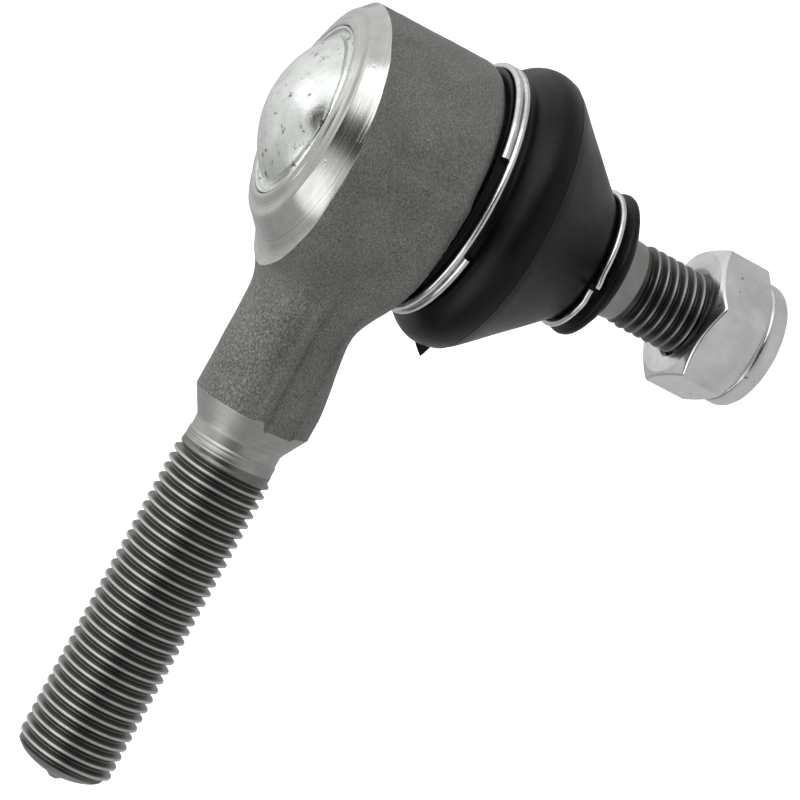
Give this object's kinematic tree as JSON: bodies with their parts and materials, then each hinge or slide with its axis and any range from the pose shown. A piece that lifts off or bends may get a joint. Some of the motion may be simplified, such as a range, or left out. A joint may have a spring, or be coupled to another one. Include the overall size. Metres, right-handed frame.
{
  "type": "tie rod end",
  "caption": "Steering tie rod end with a forged eye, threaded shank, ball stud in a plastic shell, rubber boot with wire rings, and a lock nut.",
  "frame": {"origin": "on the shank's axis at the last full thread of its free end", "axes": "+X along the shank away from the ball, +Z parallel to the stud's axis from the ball towards the closing cap, +Y across the two axes"},
  "size_m": [0.1136, 0.0408, 0.0777],
  "materials": {
    "forged_steel": "shot-blasted forging with bright turned faces",
    "plated_cap": "dull zinc plate",
    "spring_steel": "satin",
    "bearing_plastic": "smooth acetal",
    "stud_steel": "turned and rolled thread",
    "black_rubber": "semi-matte moulded rubber",
    "spring_wire": "bright drawn wire",
    "zinc_plated_nut": "bright zinc plate",
    "nylon": "translucent white nylon"
  },
  "bodies": {
    "housing": {"housing": "forged_steel", "closing_cap": "plated_cap", "preload_spring": "spring_steel", "pressure_pad": "bearing_plastic", "bearing_shell": "bearing_plastic", "boot_ring_large": "spring_wire"},
    "boot": {"dust_boot": "black_rubber"},
    "boot_collar": {"boot_ring_small": "spring_wire"},
    "stud": {"ball_stud": "stud_steel"},
    "nut_carrier": {"nut_insert": "nylon"},
    "nut": {"lock_nut": "zinc_plated_nut"}
  },
  "joints": [
    {"name": "stud_swing", "type": "hinge", "parent": "housing", "child": "boot", "pos_m": [-0.092, 0, 0], "axis": [0, 1, 0], "range_deg": [-18, 18], "deforming": ["dust_boot"]},
    {"name": "stud_side_swing", "type": "hinge", "parent": "boot", "child": "boot_collar", "pos_m": [-0.092, 0, 0], "axis": [1, 0, 0], "range_deg": [-18, 18], "deforming": ["dust_boot"]},
    {"name": "stud_turn", "type": "hinge", "parent": "boot_collar", "child": "stud", "pos_m": [-0.092, 0, 0], "axis": [0, 0, 1], "continuous": true, "deforming": ["dust_boot"]},
    {"name": "nut_travel", "type": "slide", "parent": "stud", "child": "nut_carrier", "axis": [0, 0, -1], "range_m": [-0.00825, 0.00825], "deforming": ["dust_boot"]},
    {"name": "nut_turn", "type": "hinge", "parent": "nut_carrier", "child": "nut", "pos_m": [-0.092, 0, -0.0535], "axis": [0, 0, -1], "range_deg": [-1985, 1985]}
  ],
  "couplings": [
    {"joint": "nut_turn", "follows": "nut_travel", "rad_per_m": 4188.8}
  ]
}
